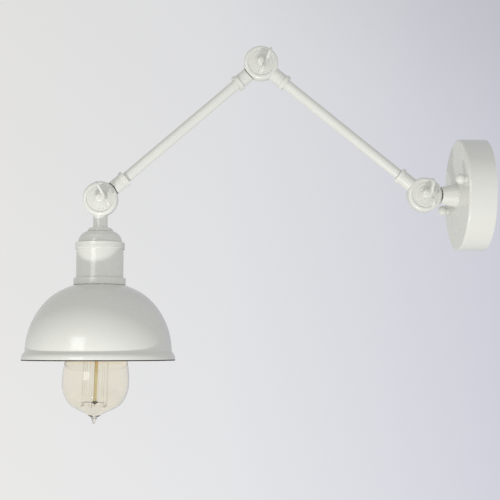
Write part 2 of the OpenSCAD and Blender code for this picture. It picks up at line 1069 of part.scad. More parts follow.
// Solid dome with a flared lip below it
module solid_dome(r, top, lip, rim, rim_end) {
  flare = (rim - lip) / (rim_z - hem - lip_z);
  union() {
    intersection() {
      translate([0, 0, -dome_z])
        sphere(r = r, $fn = 180);
      translate([0, 0, -lip_z - 1])
        cylinder(r = r + 5, h = lip_z + 1 - top);
    }
    rotate_extrude()
      polygon([
        [0, -lip_z + 1], [lip - flare, -lip_z + 1],
        [rim, -rim_z + hem], [rim, -rim_end], [0, -rim_end]
      ]);
  }
}

module shade() {
  color(paint)
    below_head()
      difference() {
        solid_dome(dome_r, shade_top, lip_r, rim_r, rim_z);
        solid_dome(dome_r - shade_wall, shade_top + shade_wall, inner_lip_r,
          rim_r - shade_wall, rim_z + 1);
        translate([0, 0, -shade_top - 2])
          cylinder(r = holder_hole_r, h = 4);
      }
}

// Bulb

// Places what belongs to the bulb, which leans a little in its thread
module in_bulb() {
  below_head()
    translate([0, 0, -lean_z])
      rotate([-bulb_lean, 0, 0])
        translate([0, 0, lean_z])
          children();
}

// Outer outline of the glass, from its neck to its tip, as [radius, z]
glass_r = bulb_d / 2;
glass_outline = concat(
  [[glass_neck_r, -glass_start], [glass_neck_r, -cap_end - 1.5]],
  curve([
    [glass_neck_r, -cap_end - 1.5], [glass_neck_r + 1.2, -cap_end - 14],
    [glass_r, -wide_z + 31], [glass_r, -wide_z]
  ], 26),
  curve([
    [glass_r, -wide_z], [glass_r, -wide_z - 12],
    [glass_r * 0.84, -bulb_tip + 18.1], [glass_r * 0.57, -bulb_tip + 14.6]
  ], 16),
  curve([
    [glass_r * 0.57, -bulb_tip + 14.6], [glass_r * 0.41, -bulb_tip + 12.5],
    [glass_r * 0.17, -bulb_tip + 10.3], [3.4, -bulb_tip + 5.8]
  ], 8),
  curve([
    [3.4, -bulb_tip + 5.8], [2.3, -bulb_tip + 3.4],
    [1.6, -bulb_tip], [0, -bulb_tip]
  ], 8)
);
// The inside stops short of the solid tip
glass_inside = [for (p = moved(glass_outline, -glass_t)) if (p[1] > -bulb_tip + tip_solid) p];

module bulb_glass() {
  last = glass_inside[len(glass_inside) - 1];
  color(amber_glass)
    in_bulb()
      rotate_extrude()
        polygon(concat(glass_outline, [[0, last[1] - 0.4]], reversed(glass_inside)));
}

module bulb_cap() {
  wave = 0.45;
  turns = 4.5;
  steps = 45;
  wall = 0.3;
  crest_r = bulb_cap_d / 2;
  thread_len = cap_len - cap_skirt;
  thread_bore = crest_r - 2 * wave - wall;
  color(brass)
    in_bulb()
      rotate_extrude()
        polygon(concat(
          [for (i = [0:steps]) let (t = i / steps)
            [crest_r - wave - wave * cos(t * turns * 360), -cap_start - t * thread_len]],
          [[crest_r, -cap_end], [glass_neck_r + slip, -cap_end],
           [glass_neck_r + slip, -cap_end + cap_skirt - wall],
           [thread_bore, -cap_end + cap_skirt - wall],
           [thread_bore, -cap_start - wall], [9, -cap_start - wall], [9, -cap_start]]
        ));
}

module bulb_insulator() {
  color(bakelite)
    in_bulb()
      rotate_extrude()
        polygon([
          [0, -bulb_top - contact_h], [5, -bulb_top - contact_h],
          [9, -cap_start], [9, -cap_start - 1], [0, -cap_start - 1]
        ]);
}

module bulb_contact() {
  color(steel)
    in_bulb()
      ring(0, 4, bulb_top, bulb_top + contact_h);
}

module glass_stem() {
  flare_r = glass_neck_r - glass_t - 0.3;
  color(amber_glass)
    in_bulb()
      union() {
        rotate_extrude()
          polygon([
            [0, -cap_end + 2], [flare_r, -cap_end + 2], [flare_r, -cap_end],
            [4.5, -cap_end - 6], [3.6, -press_z], [0, -press_z]
          ]);
        ring(0, stem_rod_r, press_z - 1, cage_end + 1);
        for (z = [cage_top, cage_end])
          ring(0, bead_r, z - bead_h / 2, z + bead_h / 2);
      }
}

// Angle of a strand, with a wider gap where the cage is open
strand_step = 360 / (strands + 1);
function strand_angle(i) = 90 + strand_step * (i + 1);

// Path of the filament: down and up the strands, with a half circle at each turn
turn_r = cage_r * sin(strand_step / 2);
turn_steps = 6;
function cage_point(angle, z) = [cage_r * cos(angle), cage_r * sin(angle), z];
filament_path = concat(
  [cage_point(strand_angle(0), -cage_top)],
  [for (i = [0:strands - 2])
    let (low = i % 2 == 0, z = low ? -cage_end + turn_r : -cage_top - turn_r, s = low ? -1 : 1)
    for (j = [0:turn_steps])
      let (a = 180 * j / turn_steps)
      cage_point(strand_angle(i) + strand_step * (1 - cos(a)) / 2, z + s * turn_r * sin(a))],
  [cage_point(strand_angle(strands - 1), -cage_top)]
);

module filament() {
  sides = 6;
  last = len(filament_path) - 1;
  r = filament_d / 2;
  points = [for (i = [0:last])
    let (
      p = filament_path[i],
      a = filament_path[max(i - 1, 0)],
      b = filament_path[min(i + 1, last)],
      run = (b - a) / norm(b - a),
      out = [p[0], p[1], 0] / norm([p[0], p[1]]),
      side = cross(run, out) / norm(cross(run, out))
    )
    for (k = [0:sides - 1])
      p + r * cos(k * 360 / sides) * out + r * sin(k * 360 / sides) * side];
  walls = [for (i = [0:last - 1]) for (k = [0:sides - 1])
    let (m = (k + 1) % sides, q = i * sides)
    for (f = [[q + k, q + m, q + sides + k], [q + m, q + sides + m, q + sides + k]]) f];
  start_cap = [for (k = [1:sides - 2]) [0, k + 1, k]];
  end_cap = [for (k = [1:sides - 2]) [last * sides, last * sides + k, last * sides + k + 1]];
  color(brass)
    in_bulb()
      polyhedron(points = points, faces = concat(walls, start_cap, end_cap));
}

// Support wires reach from the beads on the rod to the turns of the filament
module support_wire(angle, z) {
  reach = cage_r - bead_r - filament_d / 2 - 0.05;
  rotate([0, 0, angle])
    translate([bead_r, 0, -z])
      rotate([0, 90, 0])
        cylinder(r = support_r, h = reach, $fn = 16);
}

module filament_supports() {
  color(steel)
    in_bulb() {
      for (i = [0:2:strands - 2])
        support_wire(strand_angle(i + 0.5), cage_end);
      for (i = [1:2:strands - 3])
        support_wire(strand_angle(i + 0.5), cage_top);
    }
}

// Lead wires slant from the press of the stem out to the filament's two ends
module lead_wires() {
  start_r = 2.4;
  top = press_z + 0.25;
  bottom = cage_top - 0.05;
  color(steel)
    in_bulb()
      for (i = [0, strands - 1]) {
        angle = strand_angle(i);
        run = [cage_r - start_r, 0, top - bottom];
        rotate([0, 0, angle])
          translate([start_r, 0, -top])
            rotate([0, acos(run[2] / norm(run)), 0])
              cylinder(r = lead_r, h = norm(run), $fn = 16);
      }
}

canopy_shell();
mounting_strap();
canopy_studs();
stud_locknuts();
ball_nuts();
ground_screw();
terminal_block();
terminal_barrels();
terminal_screws();
block_screw();
wall_knuckle();
stem_pipe();
stem_nut();
stem_washer();
wall_friction_washer();
wall_wing_screw();
wall_wing_washer();
arm1_lower_knuckle();
arm1_tube();
arm1_lock_rings();
arm1_upper_knuckle();
arm2_upper_knuckle();
arm2_tube();
arm2_lock_rings();
arm2_lower_knuckle();
elbow_friction_washer();
elbow_wing_screw();
elbow_wing_washer();
head_friction_washer();
head_wing_screw();
head_wing_washer();
head_knuckle();
head_pipe();
cap_nut();
socket_cap();
socket_cup();
cup_ring();
holder_dome();
holder_skirt();
holder_core();
screw_shell();
centre_contact();
holder_terminals();
clamp_ring();
shade();
bulb_cap();
bulb_insulator();
bulb_contact();
bulb_glass();
glass_stem();
filament();
filament_supports();
lead_wires();
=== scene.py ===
import json
import math
import bmesh
import bpy
import numpy as np
from mathutils import Matrix, Vector


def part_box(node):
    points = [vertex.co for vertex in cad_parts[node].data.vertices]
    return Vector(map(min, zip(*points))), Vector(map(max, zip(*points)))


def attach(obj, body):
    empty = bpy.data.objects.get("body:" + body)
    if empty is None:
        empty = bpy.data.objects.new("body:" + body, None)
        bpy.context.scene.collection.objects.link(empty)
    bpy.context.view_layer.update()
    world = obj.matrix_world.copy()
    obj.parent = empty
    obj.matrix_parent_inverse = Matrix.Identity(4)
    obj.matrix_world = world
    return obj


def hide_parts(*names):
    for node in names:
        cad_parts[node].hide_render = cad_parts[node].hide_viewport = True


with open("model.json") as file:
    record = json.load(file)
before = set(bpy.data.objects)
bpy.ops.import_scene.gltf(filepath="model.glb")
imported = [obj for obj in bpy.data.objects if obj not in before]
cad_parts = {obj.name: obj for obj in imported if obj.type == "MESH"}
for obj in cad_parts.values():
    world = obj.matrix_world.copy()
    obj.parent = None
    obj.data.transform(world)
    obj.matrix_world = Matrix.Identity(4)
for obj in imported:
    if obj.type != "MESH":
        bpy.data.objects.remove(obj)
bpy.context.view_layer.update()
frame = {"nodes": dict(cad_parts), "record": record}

nodes = frame["nodes"]
MM = 0.001

# Y and Z of the three pivots in mm, as in the part's source
WALL_PIVOT = (-60.0, 0.0)
ELBOW_PIVOT = (-224.366, 133.101)
HEAD_PIVOT = (-383.987, -5.655)


# ---------------------------------------------------------------- node trees
class Tree:
    """Writes a node tree. An input takes a constant, a socket or a node, which stands for its first output."""

    def __init__(self, tree):
        self.t = tree
        self.t.nodes.clear()

    def add(self, kind, inputs=None, **props):
        n = self.t.nodes.new(kind)
        for k, v in props.items():
            setattr(n, k, v)
        for k, v in (inputs or {}).items():
            self.put(n, k, v)
        return n

    def put(self, n, key, v):
        s = n.inputs[key]
        if isinstance(v, bpy.types.NodeSocket):
            self.t.links.new(v, s)
        elif isinstance(v, bpy.types.Node):
            self.t.links.new(v.outputs[0], s)
        else:
            s.default_value = v

    def ramp(self, fac, stops):
        n = self.add("ShaderNodeValToRGB")
        e = n.color_ramp.elements
        while len(e) < len(stops):
            e.new(0.5)
        for el, (p, c) in zip(e, stops):
            el.position = p
            el.color = (*c, 1)
        self.put(n, "Fac", fac)
        return n

    def two_tone(self, fac, dark, light):
        return self.ramp(fac, [(0.3, dark), (0.7, light)])

    def noise(self, vec, scale, detail=2.0, rough=0.5):
        return self.add("ShaderNodeTexNoise", {"Vector": vec, "Scale": scale, "Detail": detail, "Roughness": rough})

    def span(self, fac, lo, hi):
        return self.add("ShaderNodeMapRange", {"Value": fac, "To Min": lo, "To Max": hi})

    def soft_step(self, value, start, end, first=0.0, last=1.0):
        """Goes softly from first to last while the value goes from start to end."""
        return self.add("ShaderNodeMapRange", {"Value": value, "From Min": start, "From Max": end,
                                               "To Min": first, "To Max": last}, interpolation_type="SMOOTHSTEP")

    def math(self, operation, *values, **props):
        return self.add("ShaderNodeMath", dict(enumerate(values)), operation=operation, **props)

    def dot(self, vec, axis):
        return self.add("ShaderNodeVectorMath", {0: vec, 1: tuple(axis)}, operation="DOT_PRODUCT").outputs["Value"]

    def mix(self, fac, first, second):
        return self.add("ShaderNodeMixShader", {0: fac, 1: first, 2: second})

    def bump(self, height, strength, distance, normal=None):
        n = self.add("ShaderNodeBump", {"Height": height, "Strength": strength, "Distance": distance})
        if normal is not None:
            self.put(n, "Normal", normal)
        return n


# ---------------------------------------------------------------- materials
def material(name):
    """A new material, its node tree and the point on the object in metres."""
    m = bpy.data.materials.new(name)
    m.use_nodes = True
    t = Tree(m.node_tree)
    return m, t, t.add("ShaderNodeTexCoord").outputs["Object"]


def finish_material(t, bsdf):
    t.add("ShaderNodeOutputMaterial", {"Surface": bsdf})


def enamel(name, spun=False):
    """Glossy warm white enamel: faint orange peel, faint tone changes, spun lines on turned sheet."""
    m, t, at = material(name)
    tone = t.noise(at, 14.0, 3.0, 0.55)
    normal = t.bump(t.noise(at, 430.0), 0.05, 0.0003)
    if spun:
        stretch = t.add("ShaderNodeMapping", {"Vector": at, "Scale": (0.8, 0.8, 120.0)})
        normal = t.bump(t.noise(stretch, 9.0, 4.0, 0.7), 0.17, 0.0004, normal)
    finish_material(t, t.add("ShaderNodeBsdfPrincipled", {
        "Base Color": t.two_tone(tone, (0.772, 0.776, 0.732), (0.802, 0.806, 0.764)),
        "Roughness": t.span(t.noise(at, 90.0, 3.0, 0.6), 0.20, 0.32), "Normal": normal,
        "IOR": 1.5, "Coat Weight": 0.5, "Coat Roughness": 0.06, "Coat IOR": 1.5}))
    return m


def metal(name, dark, light, low, high, grain=0.12):
    """Bare or plated metal in two tones, its roughness from low to high."""
    m, t, at = material(name)
    fine = t.noise(at, 1320.0)
    finish_material(t, t.add("ShaderNodeBsdfPrincipled", {
        "Base Color": t.two_tone(t.noise(at, 60.0, 3.0, 0.6), dark, light), "Metallic": 1.0,
        "Roughness": t.span(fine, low, high), "Normal": t.bump(fine, grain, 0.0002)}))
    return m


def plain(name, dark, light, low, high, scale=80.0, bump=0.1, coat=0.0, under=0.0):
    """Plastic, fibre, porcelain or black glass in two tones, its roughness from low to high."""
    m, t, at = material(name)
    fine = t.noise(at, scale * 14)
    finish_material(t, t.add("ShaderNodeBsdfPrincipled", {
        "Base Color": t.two_tone(t.noise(at, scale, 4.0, 0.6), dark, light), "Roughness": t.span(fine, low, high),
        "Normal": t.bump(fine, bump, 0.0002), "Coat Weight": coat, "Subsurface Weight": under,
        "Subsurface Radius": (0.002, 0.002, 0.0015)}))
    return m


def glass(name, dark, light, warm, bottom, wave):
    """Tinted glass, with a painted warm reflection of the shade's inside towards its neck: the warm tint sets in at
    the height bottom, in metres.
    """
    m, t, at = material(name)
    height = t.add("ShaderNodeSeparateXYZ", {"Vector": at}).outputs["Z"]
    tint = t.two_tone(t.noise(at, 22.0), dark, light)
    # Sockets 0, 6 and 7 and output 2 are the factor, the two colours and the mixed colour
    # Painted reflection: warmer near the neck, just under the shade's rim
    neck_reflection = t.soft_step(height, bottom, NECK_REFLECTION_TOP)
    colour = t.add("ShaderNodeMix", {0: neck_reflection, 6: tint, 7: (*warm, 1.0)}, data_type="RGBA").outputs[2]
    finish_material(t, t.add("ShaderNodeBsdfPrincipled", {
        "Base Color": colour, "Roughness": 0.0, "IOR": 1.5, "Transmission Weight": 1.0,
        "Normal": t.bump(t.noise(at, 45.0, 1.0, 0.4), wave, 0.0006)}))
    return m


# Top of the painted warm reflection under the shade's rim
NECK_REFLECTION_TOP = -0.163       # height in metres from which the glass has its full warm tint
MAT = {
    "paint": enamel("paint"),
    "paint_spun": enamel("paint_spun", spun=True),
    "zinc_steel": metal("zinc_steel", (0.52, 0.53, 0.55), (0.66, 0.67, 0.66), 0.28, 0.45),
    "green_screw": metal("green_screw", (0.05, 0.20, 0.07), (0.12, 0.36, 0.14), 0.25, 0.4),
    "nylon": plain("nylon", (0.74, 0.74, 0.69), (0.80, 0.80, 0.76), 0.35, 0.5, under=0.15),
    "brass": metal("brass", (0.60, 0.40, 0.16), (0.76, 0.56, 0.27), 0.2, 0.35),
    "fibre": plain("fibre", (0.16, 0.055, 0.03), (0.25, 0.10, 0.055), 0.6, 0.8, scale=240.0, bump=0.4),
    "bakelite": plain("bakelite", (0.018, 0.016, 0.015), (0.034, 0.030, 0.027), 0.2, 0.32, coat=0.3),
    "porcelain": plain("porcelain", (0.74, 0.72, 0.66), (0.80, 0.785, 0.73), 0.12, 0.22, coat=0.6),
    "cap_brass": metal("cap_brass", (0.62, 0.46, 0.22), (0.78, 0.62, 0.34), 0.22, 0.36),
    "black_glass": plain("black_glass", (0.010, 0.010, 0.014), (0.022, 0.022, 0.028), 0.08, 0.16, coat=0.5),
    "solder": metal("solder", (0.46, 0.47, 0.48), (0.60, 0.61, 0.62), 0.35, 0.55, grain=0.32),
    # Both glasses turn warmer just under the shade's rim: a painted reflection of the shade's inside
    "amber_glass": glass("amber_glass", (0.99, 0.962, 0.88), (0.995, 0.975, 0.905), (1.0, 0.925, 0.80),
                         bottom=-0.172, wave=0.05),
    "stem_glass": glass("stem_glass", (0.79, 0.68, 0.36), (0.83, 0.73, 0.42), (0.76, 0.56, 0.28),
                        bottom=-0.185, wave=0.15),
    "filament_wire": plain("filament_wire", (0.66, 0.61, 0.48), (0.78, 0.72, 0.58), 0.4, 0.6, scale=900.0),
    "support_wire": metal("support_wire", (0.10, 0.09, 0.08), (0.20, 0.18, 0.16), 0.3, 0.45),
    # Near-black band under the rim: painted shade
    "rim_shade_band": plain("rim_shade_band", (0.020, 0.014, 0.009), (0.055, 0.038, 0.024), 0.45, 0.65, scale=120.0),
}

slots = {row["node"]: row["material_slot"] for row in frame["record"]["subparts"]}
for name, ob in nodes.items():
    ob.data.materials.clear()
    ob.data.materials.append(MAT[slots.get(name, "paint")])


# ---------------------------------------------------------------- mesh helpers
# A form is a pair of points in mm and faces. Outlines are (radius, depth) points in mm below the pivot.
def clean_mesh(name, form, place=None):
    """A mesh with its double points merged and its faces turned outwards."""
    me = bpy.data.meshes.new(name)
    me.from_pydata([tuple(c * MM for c in v) for v in form[0]], [], form[1])
    if place is not None:
        me.transform(place)
    bm = bmesh.new()
    bm.from_mesh(me)
    bmesh.ops.remove_doubles(bm, verts=bm.verts, dist=1e-6)
    bmesh.ops.recalc_face_normals(bm, faces=bm.faces)
    bm.to_mesh(me)
    bm.free()
    return me


def add_object(name, data):
    ob = bpy.data.objects.new(name, data)
    bpy.context.scene.collection.objects.link(ob)
    return ob


def make(name, form, mat, body, stands_for, place, sharp=32.0):
    """A piece from a form, smooth apart from edges sharper than the angle."""
    me = clean_mesh(name, form, place)
    for p in me.polygons:
        p.use_smooth = True
    me.set_sharp_from_angle(angle=math.radians(sharp))
    ob = add_object(name, me)
    me.materials.append(MAT[mat])
    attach(ob, body)
    if stands_for:
        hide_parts(*stands_for)


def arc(r, d, radius, a0, a1, n):
    """Points on a circle about (r, d), the angle counted from straight up towards outside."""
    return [(r + radius * math.sin(math.radians(a)), d - radius * math.cos(math.radians(a)))
            for a in np.linspace(a0, a1, n)]


def bezier(p, n):
    t = np.linspace(0, 1, n)[:, None]
    p = np.array(p, float)
    curve = (1 - t) ** 3 * p[0] + 3 * (1 - t) ** 2 * t * p[1] + 3 * (1 - t) * t ** 2 * p[2] + t ** 3 * p[3]
    return [tuple(q) for q in curve]


def rounded(points, steps=5):
    """A closed outline of (r, d) or (r, d, corner radius) with those corners rounded."""
    out = []
    n = len(points)
    for i, q in enumerate(points):
        p = np.array(q[:2], float)
        if len(q) < 3:
            out.append(tuple(p))
            continue
        a = np.array(points[i - 1][:2], float) - p
        b = np.array(points[(i + 1) % n][:2], float) - p
        la, lb = np.linalg.norm(a), np.linalg.norm(b)
        a, b = a / la, b / lb
        half = math.acos(max(-1.0, min(1.0, float(a @ b)))) / 2
        t = min(q[2] / math.tan(half), la * 0.49, lb * 0.49)
        mid = p + (a + b) / np.linalg.norm(a + b) * (t * math.tan(half)) / math.sin(half)
        v0, v1 = p + a * t - mid, p + b * t - mid
        turn = math.pi - 2 * half
        for s in np.linspace(0, 1, steps + 1):
            v = (math.sin((1 - s) * turn) * v0 + math.sin(s * turn) * v1) / math.sin(turn)
            out.append(tuple(mid + v))
    return out


def bands(rows, sides, closed=False, capped=False):
    """Faces between rows of points. Closed joins the last row to the first, capped fills the first and the last."""
    faces = []
    for i in range(rows if closed else rows - 1):
        j = (i + 1) % rows
        for k in range(sides):
            m = (k + 1) % sides
            faces.append((i * sides + k, i * sides + m, j * sides + m, j * sides + k))
    if capped:
        faces.append(tuple(range(sides)))
        faces.append(tuple(reversed(range((rows - 1) * sides, rows * sides))))
    return faces


def ovals(sections, sides):
    """Points round stacked ovals (rx, ry, depth)."""
    turns = [2 * math.pi * k / sides for k in range(sides)]
    return [(rx * math.cos(a), ry * math.sin(a), -d) for rx, ry, d in sections for a in turns]


def lathe(outline, segments, closed=True):
    """A turned form."""
    return ovals([(r, r, d) for r, d in outline], segments), bands(len(outline), segments, closed=closed)


def loft(sections, segments=48):
    """A form through stacked ovals, closed at both ends."""
    return ovals(sections, segments), bands(len(sections), segments, capped=True)


def sweep(points, radius, sides=8):
    """A round wire along points."""
    p = np.array(points, float)
    verts = []
    run = np.gradient(p, axis=0)
    run /= np.linalg.norm(run, axis=1)[:, None]
    side = np.cross(run[0], (0.3, 0.5, 0.81))
    for i in range(len(p)):
        side = side - (side @ run[i]) * run[i]
        side /= np.linalg.norm(side)
        up = np.cross(run[i], side)
        for k in range(sides):
            a = 2 * math.pi * k / sides
            verts.append(tuple(p[i] + radius * (math.cos(a) * side + math.sin(a) * up)))
    return verts, bands(len(p), sides, capped=True)


def joined(parts):
    verts, faces = [], []
    for v, f in parts:
        base = len(verts)
        verts += v
        faces += [tuple(i + base for i in q) for q in f]
    return verts, faces


def eased(points, n):
    """Extra points on a smooth line through the given ones."""
    p = np.array(points, float)
    q = np.vstack([2 * p[0] - p[1], p, 2 * p[-1] - p[-2]])
    out = []
    for i in range(1, len(q) - 2):
        for t in np.linspace(0, 1, n, endpoint=False):
            out.append(0.5 * (2 * q[i] + (q[i + 1] - q[i - 1]) * t
                              + (2 * q[i - 1] - 5 * q[i] + 4 * q[i + 1] - q[i + 2]) * t * t
                              + (3 * q[i] - q[i - 1] - 3 * q[i + 1] + q[i + 2]) * t ** 3))
    out.append(p[-1])
    return [tuple(v) for v in out]


# ---------------------------------------------------------------- shade
HEAD_LINE = Matrix.Translation((0.0, HEAD_PIVOT[0] * MM, HEAD_PIVOT[1] * MM))
DOME_D, DOME_R, SHEET = 151.0, 71.5, 1      # depth of the dome's centre, outer radius, thickness
DOME_END = 89.6                             # degrees from the top, where the crease begins
DOME_START = math.degrees(math.asin(25.75 / DOME_R))
PRESSED, PRESSED_R, PRESSED_RUN = 1.6, 52.0, 26.0


def flatter(q):
    """The spun dome is pressed a little flatter round its seat."""
    f = min(1.0, max(0.0, (PRESSED_R - q[0]) / PRESSED_RUN))
    return (q[0], q[1] + PRESSED * f * f * (3 - 2 * f))


outer = [(19.95, 84.6), (20.2, 84.3), (24.6, 84.3), (24.8, 84.5), (24.8, 85.6), (25.0, 85.9)]
outer += [flatter(q) for q in arc(0, DOME_D, DOME_R, DOME_START + 0.3, DOME_END, 60)]
# Crease and flared lip
outer += [(71.55, 150.4), (71.78, 151.0), (72.3, 151.8), (73.2, 152.8), (73.9, 153.8), (74.4, 154.9), (74.7, 156.2)]
outer += [(74.88, 157.4), (74.95, 158.3), (74.9, 158.65), (74.7, 158.72)]
inner = [(74.1, 158.72), (73.9, 158.6), (73.95, 157.4), (73.8, 156.3), (73.4, 155.0), (72.8, 153.9)]
inner += [(71.9, 152.8), (71.2, 151.8), (70.7, 150.9)]
inner += [flatter(q) for q in arc(0, DOME_D, DOME_R - SHEET, DOME_END, DOME_START + 0.2, 60)]
inner += [(24.5, 86.6), (23.9, 85.9), (23.8, 85.3), (20.2, 85.3), (19.95, 85.0)]
make("shade_skin", lathe(outer + inner, 200), "paint_spun", "head", ["shade"], HEAD_LINE)
# Cut edge of the sheet, turned in under the rim, drawn near-black: painted shade for the dark line along the rim
edge = rounded([(74.0, 158.6), (74.84, 158.6), (74.84, 159.78, 0.2), (74.0, 159.78, 0.2)], 4)
make("rim_shade_band", lathe(edge, 200), "rim_shade_band", "head", (), HEAD_LINE)

# ---------------------------------------------------------------- ring and socket cap
ring = [(23.24, 78.75, 0.2), (25.7, 78.7, 0.7), (25.7, 85.5, 0.35), (25.0, 85.5, 0.1), (25.0, 84.28)]
ring += [(19.95, 84.28, 0.2), (19.95, 82.85, 0.2), (23.24, 82.85)]
make("ring_skin", lathe(rounded(ring), 128), "paint_spun", "head", ["cup_ring"], HEAD_LINE)

BAND_R, GROOVE_R = 24.45, 24.12
cap = [(5.25, 32.1, 0.2)] + bezier([(11.2, 32.1), (15.8, 32.2), (21.3, 36.6), (21.5, 42.6)], 26) + [(21.6, 43.6, 0.3)]
cap += [(BAND_R, 43.7, 0.8)]
for d in (46.0, 47.4, 48.8):
    cap += [(BAND_R, d - 0.34), (GROOVE_R, d - 0.08), (GROOVE_R, d + 0.08), (BAND_R, d + 0.34)]
cap += [(BAND_R, 50.4, 0.35), (23.55, 50.4, 0.3), (23.55, 43.3, 0.5)]
cap += [(20.3, 43.3, 0.3), (20.2, 42.1)] + arc(11.4, 42.1, 8.8, 84, 0, 16) + [(5.25, 33.3)]
make("cap_skin", lathe(rounded(cap), 128), "paint_spun", "head", ["socket_cap"], HEAD_LINE)

# ---------------------------------------------------------------- bulb
# The bulb leans a little in its lampholder, about this depth
LEAN_AT, LEAN = 94.65, -1.8
BULB_LINE = (HEAD_LINE @ Matrix.Translation((0, 0, -LEAN_AT * MM))
             @ Matrix.Rotation(math.radians(LEAN), 4, "X") @ Matrix.Translation((0, 0, LEAN_AT * MM)))
WIDE_R, WIDE, TIP = 32.7, 180.65, 221.25    # largest radius and its depth, depth of the drawn tip
NECK_R, NECK_TOP, NECK_END = 12.8, 100.65, 107.15
glass_out = [(NECK_R, NECK_TOP), (NECK_R, NECK_END)]
for p, n in (([(NECK_R, NECK_END), (14.0, NECK_END + 12.5), (WIDE_R, WIDE - 31), (WIDE_R, WIDE)], 60),
             ([(WIDE_R, WIDE), (WIDE_R, WIDE + 12), (WIDE_R * 0.84, TIP - 18.1), (WIDE_R * 0.57, TIP - 14.6)], 40),
             ([(WIDE_R * 0.57, TIP - 14.6), (12.6, TIP - 11.6), (7.0, TIP - 9.2), (3.2, TIP - 6.0)], 24),
             ([(3.2, TIP - 6.0), (1.9, TIP - 4.9), (2.1, TIP - 0.1), (0, TIP)], 18)):
    glass_out += bezier(p, n)[1:]
g = np.array(glass_out)
run = np.gradient(g, axis=0)
run /= np.linalg.norm(run, axis=1)[:, None]
# The wall grows thicker towards the tip, and the hollow ends where it gets narrow, below the bulb's middle
WALL, TIP_WALL, MIDDLE, NARROW = 0.8, 1.8, 150, 0.9
wall = WALL + TIP_WALL * np.clip((g[:, 1] - (TIP - 8.5)) / 3.5, 0, 1) ** 2
inside = g + wall[:, None] * np.stack([-run[:, 1], run[:, 0]], axis=1)
stop = int(np.argmax((inside[:, 0] < NARROW) & (g[:, 1] > MIDDLE)))
inside = [tuple(q) for q in inside[:stop]]
glass_in = [(12.0, NECK_TOP)] + inside[1:] + [(0.0, inside[-1][1] + 0.5)]
make("bulb_skin", lathe(glass_out + glass_in[::-1], 144), "amber_glass", "head",
     ["bulb_glass"], BULB_LINE, sharp=60.0)

# Glass stem: flare, pinched press and the rod with its two beads at the depths TOP and END
TOP, END, ROD_R = 134.45, 200.45, 1.7
stem = [(11.7, 11.7, 103.65), (11.7, 11.7, 105.4), (9.4, 9.4, 107.6), (6.6, 6.6, 109.6), (4.8, 4.8, 111.6)]
stem += [(4.3, 4.1, 113.4), (4.7, 3.1, 115.2), (5.2, 2.2, 117.0), (5.3, 1.9, 118.6), (4.6, 1.75, 119.7)]
stem += [(3.0, 1.65, 120.5), (1.75, 1.55, 121.2), (ROD_R, ROD_R, 122.5)]
for z in (TOP, END):
    stem += [(ROD_R, ROD_R, z - 1.75)]
    for t in np.linspace(-1.45, 1.45, 9):
        bead_r = ROD_R + 0.75 * math.cos(t)
        stem += [(bead_r, bead_r, z + 1.2 * math.sin(t))]
    if z == TOP:
        stem += [(ROD_R, ROD_R, z + 1.75), (1.72, 1.72, 150.0), (1.8, 1.8, 170.0), (1.75, 1.75, 188.0)]
stem += [(1.3, 1.3, END + 1.7), (0.9, 0.9, END + 2.1), (0.3, 0.3, END + 2.3)]
make("stem_skin", loft(stem), "stem_glass", "head", ["glass_stem"], BULB_LINE, sharp=50.0)

# Filament: up and down between the depths HIGH and LOW, with a rounded turn at each hook
STRANDS, CAGE_R, BOW, WIRE_R = 12, 13.0, 0.25, 0.09
STEP = 360.0 / (STRANDS + 1)
LOW, HIGH = 204.7, 131.6
TURN_PTS = 6


def on_cage(angle, d, r=CAGE_R):
    a = math.radians(angle)
    return (r * math.cos(a), r * math.sin(a), -d)


def strand(i):
    """Angle of a strand in degrees."""
    return 90 + STEP * (i + 1)


line = [on_cage(strand(0), TOP - 0.2)]
for i in range(STRANDS - 1):
    start, stop, turn_at, way = (TOP, LOW, LOW, 1) if i % 2 == 0 else (LOW, TOP, HIGH, -1)
    for f in (0.35, 0.65):
        line.append(on_cage(strand(i), start + (stop - start) * f, CAGE_R - BOW))
    for j in range(TURN_PTS + 1):
        t = math.pi * j / TURN_PTS
        line.append(on_cage(strand(i) + STEP * (1 - math.cos(t)) / 2, turn_at - way * 2.6 + way * 2.4 * math.sin(t),
                            CAGE_R + 0.45 * math.sin(t)))
line.append(on_cage(strand(STRANDS - 1), 165.0, CAGE_R - BOW))
line.append(on_cage(strand(STRANDS - 1), TOP - 0.2))
make("filament_coil", sweep(eased(line, 4), WIRE_R, 6), "filament_wire", "head", ["filament"],
     BULB_LINE, sharp=80.0)

# Support wires: a hook from a bead to each turn, and a wrap of wire round each bead
HOOK = [(1.9, 0.0), (6.0, 0.1), (11.4, 0.15), (12.5, 0.5), (12.95, 1.3), (13.05, 2.6), (13.1, 3.6),
        (13.35, 4.35), (13.8, 4.3), (13.95, 3.7), (13.9, 3.2)]      # (radius, height over the bead)
UPPER_SHORT = 0.66
hooks = []
for i in range(STRANDS - 1):
    z, way, short = (END, 1, 1.0) if i % 2 == 0 else (TOP, -1, UPPER_SHORT)
    hooks.append(sweep(eased([on_cage(strand(i + 0.5), z + way * h * short, r) for r, h in HOOK], 3), 0.15))
for z in (TOP, END):
    wrap = [(2.6 * math.cos(a), 2.6 * math.sin(a), -z + 0.35 * math.sin(a / 2))
            for a in np.linspace(0, 4 * math.pi, 60)]
    hooks.append(sweep(wrap, 0.36))
make("support_hooks", joined(hooks), "support_wire", "head", ["filament_supports"],
     BULB_LINE, sharp=80.0)

# Lead wires from the press to both ends of the filament, each with a clamp
LEAD = [(2.4, 119.95), (2.9, 122.0), (7.3, 127.5), (11.4, 132.0), (12.7, 133.4), (13.0, 134.9)]
leads = []
for i in (0, STRANDS - 1):
    a = strand(i)
    leads.append(sweep(eased([on_cage(a, d, r) for r, d in LEAD], 4), 0.28))
    leads.append(sweep([on_cage(a, 133.7, 12.95), on_cage(a, 136.2, 13.0)], 0.45, 10))
make("lead_skin", joined(leads), "support_wire", "head", ["lead_wires"], BULB_LINE, sharp=60.0)

